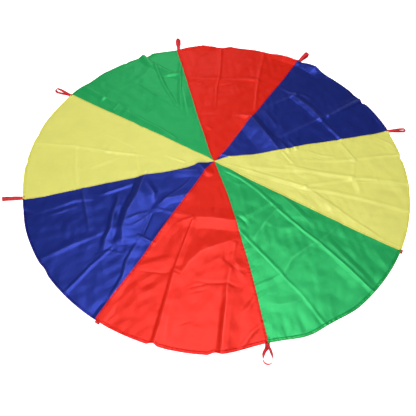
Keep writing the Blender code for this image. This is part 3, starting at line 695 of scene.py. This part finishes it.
def upward(vertices, faces):
    """The faces, turned over if the body they close is inside out."""
    points = vertices.reshape(-1, 3)
    corners = [(face[0], *pair) for face in faces for pair in zip(face[1:], face[2:])]
    first, second, third = np.moveaxis(points[np.array(corners)], 1, 0)
    volume = np.sum(first * np.cross(second, third))
    return faces if volume > 0 else [face[::-1] for face in faces]


def spaced():
    """Shares across a gore, closer together at its two seams."""
    half = np.linspace(0.0, 1.0, COLUMNS // 2 + 1)
    near = 0.5 * (EDGE_SHARE * half + (1 - EDGE_SHARE) * half ** 2)
    return np.concatenate([near, 1 - near[-2::-1]])


def seam_half(index, shares):
    """Half the width of a seam's strip, which narrows towards the crossing."""
    narrow = NARROW_SHARE + (1 - NARROW_SHARE) * eased(shares * seam_length(index) / TAPER_LENGTH)
    return SEAM_WIDTH / 2 * narrow


def gore_grid(index):
    """Points of a gore on the ground, rows out from the middle, columns from its first seam."""
    rows = np.linspace(START_SHARE, 1.0, ROWS)
    first = seam_point(index, rows, -EDGE_OUT_SHARE * seam_half(index, rows))
    last = seam_point(index + 1, rows, EDGE_OUT_SHARE * seam_half(index + 1, rows))
    share = spaced()[None, :, None]
    chord = first[:, None] * (1 - share) + last[:, None] * share
    outer = chord[-1]
    angle = np.arctan2(outer[:, 1], outer[:, 0])
    bulge = rim_point(angle, HEM_WIDTH - TUCK_IN) - outer
    return chord + bulge[None] * rows[:, None, None]


def middle_angle(index):
    """Direction in which a gore's cloth runs."""
    return seam_angle(index) - GORE_ANGLE / 2


def woven(points, angle):
    """Places along and across the threads of a cloth cut in a direction."""
    along = heading(np.array(angle))
    flat = points[..., :2]
    return np.stack([flat @ turned(along), flat @ along, points[..., 2]], axis=-1)


def cloth_body(name, points, lift, material, angle):
    """Cloth over a grid of points on the ground; lift is its thickness as vectors, angle its direction."""
    height, crest_highlight = ground_gap(points)
    bottom = np.concatenate([points, height[..., None]], axis=-1)
    vertices, faces = closed_sheet(bottom + lift, bottom)
    # The second attribute carries the painted highlight along fold crests, on both faces of the sheet
    attributes = {"cloth": woven(vertices, angle), "crest_highlight": np.tile(crest_highlight.ravel(), 2)[:, None]}
    return new_object(name, vertices, upward(vertices, faces), material, attributes=attributes)


def gore(index):
    """One gore of thin satin."""
    colour = GORE_COLOURS[index]
    name = f"gore_{index + 1}_{colour}"
    item = cloth_body(f"{name}_cloth", gore_grid(index), np.array((0.0, 0.0, CLOTH)),
                      CLOTH_MATERIALS[colour], middle_angle(index))
    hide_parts(name)
    return item


def strip(name, columns, edge_power, rise, material, angle):
    """Strip of cloth with rounded edges, from the lines of points that run along it."""
    across = np.linspace(-1.0, 1.0, len(columns))
    profile = np.maximum(1 - np.abs(across) ** edge_power, 0.0) ** 0.5
    lift = np.stack([0 * profile, 0 * profile, CLOTH + rise * profile], axis=-1)
    return cloth_body(name, np.stack(columns, axis=1), lift, material, angle)


def seam(index):
    """The folded edges of two gores, felled flat into one strip."""
    length = seam_length(index)
    shares = np.linspace(0.0, 1.0 - HEM_WIDTH / 2 / length, round(length / STRIP_STEP))
    across = np.linspace(-1.0, 1.0, STRIP_COLUMNS)
    columns = [seam_point(index, shares, seam_half(index, shares) * place) for place in across]
    colour = SEAM_COLOURS[index]
    name = f"seam_{index + 1}"
    item = strip(f"{name}_strip", columns, SEAM_EDGE_POWER, SEAM_RISE, HEM_MATERIALS[colour],
                 seam_angle(index))
    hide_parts(name)
    return item


def hem_angles(index):
    """Angles along a gore's rim, clockwise."""
    first, last = seam_end_angle(index), seam_end_angle(index + 1)
    if last > first:
        last -= 2 * math.pi
    return np.linspace(first, last, round((first - last) * RADIUS / STRIP_STEP))


def hem(index):
    """A gore's outer edge, turned under twice."""
    angles = hem_angles(index)
    insets = np.linspace(0.0, HEM_WIDTH, STRIP_COLUMNS)
    columns = [rim_point(angles, inset) for inset in insets]
    colour = GORE_COLOURS[index]
    name = f"hem_{index + 1}_{colour}"
    item = strip(f"{name}_fold", columns, HEM_EDGE_POWER, HEM_RISE, HEM_MATERIALS[colour],
                 middle_angle(index))
    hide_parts(name)
    return item


def stitch_bodies(starts, ends, radius=STITCH_RADIUS):
    """Vertices and faces of one rounded thread from each start to each end."""
    run = ends - starts
    along = run / np.linalg.norm(run, axis=-1, keepdims=True)
    across = np.cross(along, (0.0, 0.0, 1.0))
    across /= np.linalg.norm(across, axis=-1, keepdims=True)
    up = np.cross(across, along)
    turns = heading(np.arange(STITCH_SIDES) * 2 * math.pi / STITCH_SIDES)[None]
    ring = across[:, None] * turns[..., :1] + up[:, None] * turns[..., 1:]
    rings = [(starts + run * share)[:, None] + ring * radius * width for share, width in stitch_shares]
    bodies = np.stack(rings, axis=1)
    _, faces = ringed(bodies[0])
    faces = upward(bodies[0], faces)
    each = len(stitch_shares) * STITCH_SIDES
    everything = [[corner + each * body for corner in face] for body in range(len(bodies)) for face in faces]
    return bodies.reshape(-1, 3), everything


def stitch_row(name, line, rise):
    """A row of stitches along a line of points on the ground, on top of what lies there."""
    steps = np.linalg.norm(np.diff(line, axis=0), axis=-1)
    place = np.concatenate([[0.0], np.cumsum(steps)])
    first = np.arange(STITCH_PITCH / 2, place[-1] - STITCH_PITCH, STITCH_PITCH)

    def at(distance):
        flat = np.stack([np.interp(distance, place, line[:, axis]) for axis in range(2)], axis=-1)
        return lay(flat, CLOTH + rise)

    vertices, faces = stitch_bodies(at(first), at(first + STITCH_LENGTH))
    item = new_object(name, vertices, faces, THREAD)
    return item


def seam_stitches(index):
    """The row of stitches along a seam."""
    shares = np.linspace(SEAM_STITCH_START_SHARE, 1.0 - HEM_WIDTH / seam_length(index), SEAM_LINE_POINTS)
    return stitch_row(f"seam_{index + 1}_stitches", seam_point(index, shares), SEAM_RISE)


def hem_stitches(index):
    """The row of stitches near a hem's outer edge."""
    line = rim_point(hem_angles(index), HEM_WIDTH * HEM_STITCH_SHARE)
    return stitch_row(f"hem_{index + 1}_stitches", line, HEM_RISE * HEM_STITCH_RISE_SHARE)


def crossing():
    """The knot of thread where the eight seams meet."""
    around = heading(np.arange(KNOT_SIDES) * 2 * math.pi / KNOT_SIDES)
    rings = []
    for share, rise in knot_shares:
        heights = np.full((KNOT_SIDES, 1), KNOT_BASE + KNOT_HEIGHT * rise)
        rings.append(np.concatenate([MEET + around * KNOT_RADIUS * share, heights], axis=-1))
    vertices, faces = ringed(np.stack(rings))
    item = new_object("seam_crossing_knot", vertices, upward(vertices, faces), THREAD)
    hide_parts("seam_crossing")
    return item


def leg_gape(handle, along):
    """Half the distance between the middles of a handle's two legs."""
    closed = (WEBBING + CLEARANCE) / 2
    share = np.clip(along / handle.leg_reach, 0.0, 1.0)
    if handle.tucked:
        parted = eased((share - TUCKED_SHARE) / (1 - TUCKED_SHARE))
    else:
        parted = np.sin(share * math.pi / 2) ** LEG_CURVE
    return closed + (handle.end_radius - closed) * parted


def strap_path(handle):
    """Middle of the strap seen from its edge: out along the upper leg, round, and back."""
    legs = np.linspace(0.0, handle.leg_reach, LEG_POINTS)[:-1]
    upper = np.stack([legs, leg_gape(handle, legs)], axis=-1)
    turns = math.pi / 2 - math.pi * np.linspace(0.0, 1.0, BEND_POINTS)
    round_end = np.array((handle.leg_reach, 0.0)) + heading(turns) * handle.end_radius
    lower = upper[::-1] * np.array((1.0, -1.0))
    return np.concatenate([upper, round_end, lower])


def webbing_profile():
    """Cross-section of the webbing: across it and out of it."""
    over = np.array(webbing_shares) * np.array((WEBBING_WIDTH / 2, WEBBING / 2))
    return np.concatenate([over, over[::-1] * np.array((1.0, -1.0))])


def lain(handle, along, gape, leg, across):
    """Points of the upright, untwisted strap, moved to where the leaning loop lies on the ground."""
    share = along / handle.reach
    lean = handle.lean * eased(share / APART_SHARE)
    first = eased(share / HALF_TURN_SHARE)
    second = eased((share - HALF_TURN_SHARE) / (FULL_TURN_SHARE - HALF_TURN_SHARE))
    turn = handle.lean * (first + second) / 2
    skin = gape - leg
    half = leg_gape(handle, along)
    middle = half * np.cos(lean) + WEBBING / 2 * np.cos(turn) + WEBBING_WIDTH / 2 * np.abs(np.sin(turn))
    sideways = leg * np.sin(lean) + skin * np.sin(turn) + across * np.cos(turn)
    height = middle + leg * np.cos(lean) + skin * np.cos(turn) - across * np.sin(turn)
    return np.stack([along, sideways, height], axis=-1)


def strap_rings(handle):
    """Rings of points along the whole strap, from one sewn end round to the other."""
    path = strap_path(handle)
    along_path = np.gradient(path, axis=0)
    along_path /= np.linalg.norm(along_path, axis=-1, keepdims=True)
    along_path[0], along_path[-1] = (1.0, 0.0), (-1.0, 0.0)
    outward = turned(along_path)
    profile = webbing_profile()
    skin = profile[None, :, 1]
    along = path[:, None, 0] + outward[:, None, 0] * skin
    gape = path[:, None, 1] + outward[:, None, 1] * skin
    leg = np.clip(np.broadcast_to(path[:, None, 1], gape.shape), -handle.end_radius, handle.end_radius)
    across = np.broadcast_to(profile[None, :, 0], gape.shape)
    return lain(handle, np.maximum(along, 0.0), gape, leg, across)


def turned_under(ring):
    """Rings of a strap's half turn, from its sewn end down to a free ring on the ground under it."""
    reach = TURN_HEIGHT - ring[:, 2]
    angle = np.linspace(0.0, math.pi, TURN_POINTS)[:-1, None]
    sideways = np.broadcast_to(ring[:, 1], (TURN_POINTS - 1, len(ring)))
    return np.stack([-reach * np.sin(angle), sideways, TURN_HEIGHT + reach * np.cos(angle)], axis=-1)


def sewn_rings(ring, tucked):
    """Rings of the sewn end that a strap's first or last free ring runs into, from its cut edge."""
    stations = np.linspace(-SEWN_LENGTH - STUB_LENGTH, 0.0, SEWN_POINTS)[:-1, None, None]
    inward = stations * np.array((1.0, 0.0, 0.0))
    if not tucked:
        return ring + inward
    over = ring * (1, 1, -1) + np.array((0.0, 0.0, 2 * TURN_HEIGHT)) - inward
    return np.concatenate([over, turned_under(ring)])


def handle_loop(index):
    """A handle of webbing: the free loop and both its sewn ends."""
    handle = HANDLES[index]
    free = strap_rings(handle)
    lead, tail = (sewn_rings(ring, handle.tucked) for ring in (free[0], free[-1]))
    rings = np.concatenate([lead, free, tail[::-1]])
    outward = -1.0 if handle.tucked else 1.0
    flat = handle.hinge[:2] + outward * (rings[..., :1] * handle.out + rings[..., 1:2] * handle.side)
    vertices, faces = ringed(np.concatenate([flat, rings[..., 2:]], axis=-1))
    steps = np.linalg.norm(np.diff(rings.mean(axis=1), axis=0), axis=-1)
    distance = np.concatenate([[0.0], np.cumsum(steps)])
    across = webbing_profile()[:, 0]
    weave = np.stack(np.broadcast_arrays(across[None, :], distance[:, None], 0.0), axis=-1)
    item = new_object(f"{handle.name}_webbing", vertices, upward(vertices, faces), WEBBING_MATERIAL,
                      body=None, attributes={"cloth": weave.reshape(-1, 3)})
    if handle.tucked:
        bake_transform(item)
    else:
        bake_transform(item)
    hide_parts(handle.name, f"{handle.name}_sewn_end")
    return item


def tack(index):
    """The bar of close stitches that holds a handle to the hem."""
    handle = HANDLES[index]
    inner, outer = -(HEM_WIDTH + TACK_DEPTH) / 2, -(HEM_WIDTH - TACK_DEPTH) / 2
    sides = np.linspace(-TACK_WIDTH / 2, TACK_WIDTH / 2, TACK_THREADS)
    slant = TACK_WIDTH / TACK_THREADS / 2
    starts = handle.rim + handle.out * inner + handle.side * (sides - slant)[:, None]
    ends = handle.rim + handle.out * outer + handle.side * (sides + slant)[:, None]
    rise = CLOTH + HEM_RISE + STITCH_RADIUS / 2
    vertices, faces = stitch_bodies(lay(starts, rise), lay(ends, rise), TACK_RADIUS)
    name = f"{handle.name}_tack"
    item = new_object(f"{name}_thread", vertices, faces, THREAD)
    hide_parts(name)
    return item


def fill(node, inputs):
    """Sets a node's inputs: another node's output is linked, and anything else is a value."""
    for key, value in inputs.items():
        if isinstance(value, bpy.types.NodeSocket):
            node.id_data.links.new(value, node.inputs[key])
        else:
            node.inputs[key].default_value = value


def node_adder(tree):
    """A function that adds a node to a tree, sets it up and gives its outputs."""

    def add(kind, inputs, **settings):
        node = tree.nodes.new(f"ShaderNode{kind}")
        for key, value in settings.items():
            setattr(node, key, value)
        fill(node, inputs)
        return node.outputs

    return add


def new_material(name):
    """A material, the function that adds nodes to it, and its shader."""
    material = bpy.data.materials.new(name)
    material.use_nodes = True
    tree = material.node_tree
    return material, node_adder(tree), tree.nodes["Principled BSDF"]


def tinted(add, factor, colour, low, high, depth=1.0):
    """A colour, deepened by a power, that a factor takes from a low share of it to a high one."""
    dark, pale = ((*(share * channel ** depth for channel in colour), 1.0) for share in (low, high))
    return add("Mix", {"Factor": factor, "A": dark, "B": pale}, data_type="RGBA")["Result"]


def cloth_material(name, colour, roughness, mirrored, shine, depth=1.0):
    """Satin-faced taffeta: fine crossing threads, uneven dye, a painted highlight along fold crests."""
    material, add, shader = new_material(name)
    place = add("Attribute", {}, attribute_name="cloth")["Vector"]
    crest_highlight = add("Attribute", {}, attribute_name="crest_highlight")["Fac"]
    uneven = add("TexNoise", {"Vector": place, "Scale": 9.0, "Detail": 4.0})["Fac"]
    drawn_out = add("Mapping", {"Vector": place, "Scale": (420.0, 12.0, 1.0)})["Vector"]
    slubs = add("TexNoise", {"Vector": drawn_out, "Scale": 1.0, "Detail": 2.0})["Fac"]
    broad = add("Math", {0: uneven, 1: 0.65}, operation="MULTIPLY")["Value"]
    both = add("Math", {0: slubs, 1: 0.35, 2: broad}, operation="MULTIPLY_ADD")["Value"]
    dyed = tinted(add, both, colour, 0.88, 1.08, depth)
    # Painted highlight: along fold crests the dyed colour is mixed towards a lighter copy of it
    pale = (*(min(channel * 1.25 + 0.03, 1.0) for channel in colour), 1.0)
    highlight_share = add("Math", {0: crest_highlight, 1: 0.65}, operation="MULTIPLY")["Value"]
    base = add("Mix", {"Factor": highlight_share, "A": dyed, "B": pale}, data_type="RGBA")["Result"]
    gloss = {"Value": uneven, "To Min": roughness - 0.05, "To Max": roughness + 0.07}
    warp = {"Vector": place, "Scale": 500.0, "Distortion": 1.0}
    weft = {"Vector": place, "Scale": 420.0, "Distortion": 1.0}
    crossed = add("Math", {0: add("TexWave", warp, bands_direction="X")["Fac"],
                           1: add("TexWave", weft, bands_direction="Y")["Fac"]}, operation="ADD")["Value"]
    threads = add("Math", {0: crossed, 1: slubs}, operation="ADD")["Value"]
    bump = add("Bump", {"Height": threads, "Strength": 0.25, "Distance": 0.0001})["Normal"]
    fill(shader, {"Base Color": base, "Roughness": add("MapRange", gloss)["Result"],
                  "Metallic": mirrored, "Specular IOR Level": shine, "Normal": bump})
    return material


def webbing_material():
    """Close-woven red tape: ribs along it and fine picks across."""
    material, add, shader = new_material("webbing")
    place = add("Attribute", {}, attribute_name="cloth")["Vector"]
    ribs = add("TexWave", {"Vector": place, "Scale": 190.0}, bands_direction="X")["Fac"]
    picks = add("TexWave", {"Vector": place, "Scale": 320.0, "Distortion": 1.5}, bands_direction="Y")["Fac"]
    both = add("Math", {0: ribs, 1: picks}, operation="MULTIPLY")["Value"]
    bump = add("Bump", {"Height": both, "Strength": 0.5, "Distance": 0.0003})["Normal"]
    fill(shader, {"Base Color": tinted(add, both, WEBBING_COLOUR, 0.75, 1.15), "Roughness": 0.62,
                  "Sheen Weight": 0.05, "Normal": bump})
    return material


def thread_material():
    """Dark red sewing thread."""
    material, add, shader = new_material("thread")
    place = add("TexCoord", {})["Object"]
    fuzz = add("TexNoise", {"Vector": place, "Scale": 900.0})["Fac"]
    fill(shader, {"Base Color": tinted(add, fuzz, THREAD_COLOUR, 0.7, 1.2), "Roughness": 0.55})
    return material


def floor():
    """Plain pale floor."""
    material, _, shader = new_material("floor")
    fill(shader, {"Base Color": (0.93, 0.93, 0.93, 1.0), "Roughness": 0.9, "Specular IOR Level": 0.2,
                  "Emission Color": (1.0, 1.0, 1.0, 1.0), "Emission Strength": FLOOR_GLOW})
    corners = np.array([(-1, -1, 0), (1, -1, 0), (1, 1, 0), (-1, 1, 0)]) * FLOOR_HALF
    item = new_object("floor", corners, [[0, 1, 2, 3]], material, body=None)
    return item


def softbox(name, place, size, energy):
    """Square soft light aimed at the middle of the canopy."""
    data = bpy.data.lights.new(name, "AREA")
    data.shape = "SQUARE"
    data.size = size
    data.energy = energy
    item = bpy.data.objects.new(name, data)
    item.location = place
    aim = Vector((0.0, 0.0, 0.0)) - item.location
    item.rotation_euler = aim.to_track_quat("-Z", "Y").to_euler()
    bpy.context.scene.collection.objects.link(item)


def lights():
    """A wide softbox overhead, a weak one behind, a high one to the left, and a dim room, seen as pale."""
    for name, (place, size, energy) in SOFTBOXES.items():
        softbox(name, place, size, energy)
    world = bpy.data.worlds.new("room")
    world.use_nodes = True
    add = node_adder(world.node_tree)
    seen = add("LightPath", {})["Is Camera Ray"]
    walls = add("MapRange", {"Value": seen, "To Min": ROOM_LIGHT, "To Max": WALLS_SEEN})["Result"]
    fill(world.node_tree.nodes["Background"], {"Color": (1.0, 1.0, 1.0, 1.0), "Strength": walls})
    bpy.context.scene.world = world


def camera():
    """The photograph's view: direction, roll, distance and lens."""
    azimuth, elevation, roll = math.radians(-14.94), math.radians(55.897), math.radians(1.400)
    distance = 2.2009
    target = Vector((-0.1087, -0.2624, 0.0))
    back = Vector((math.sin(azimuth) * math.cos(elevation), -math.cos(azimuth) * math.cos(elevation),
                   math.sin(elevation)))
    right = Vector((math.cos(azimuth), math.sin(azimuth), 0.0))
    up = back.cross(right)
    level_right = math.cos(roll) * right + math.sin(roll) * up
    level_up = -math.sin(roll) * right + math.cos(roll) * up
    data = bpy.data.cameras.new("camera")
    data.lens = 38.53
    data.sensor_width = 36.0
    item = bpy.data.objects.new("camera", data)
    turn = Matrix((level_right, level_up, back)).transposed().to_4x4()
    item.matrix_world = Matrix.Translation(target + back * distance) @ turn
    bpy.context.scene.collection.objects.link(item)
    bpy.context.scene.camera = item


bpy.context.scene.view_settings.view_transform = "Standard"
CLOTH_MATERIALS = {colour: cloth_material(f"{colour}_satin", *values) for colour, values in CLOTHS.items()}
HEM_MATERIALS = {colour: cloth_material(f"{colour}_doubled", *values, depth=1.2)
                 for colour, values in CLOTHS.items()}
WEBBING_MATERIAL = webbing_material()
THREAD = thread_material()

camera()
lights()
GROUND = floor()
crossing()
for number in range(GORES):
    cloth = gore(number)
    pieces = [seam(number), hem(number), seam_stitches(number), hem_stitches(number)]
    handle_loop(number)
    tack(number)
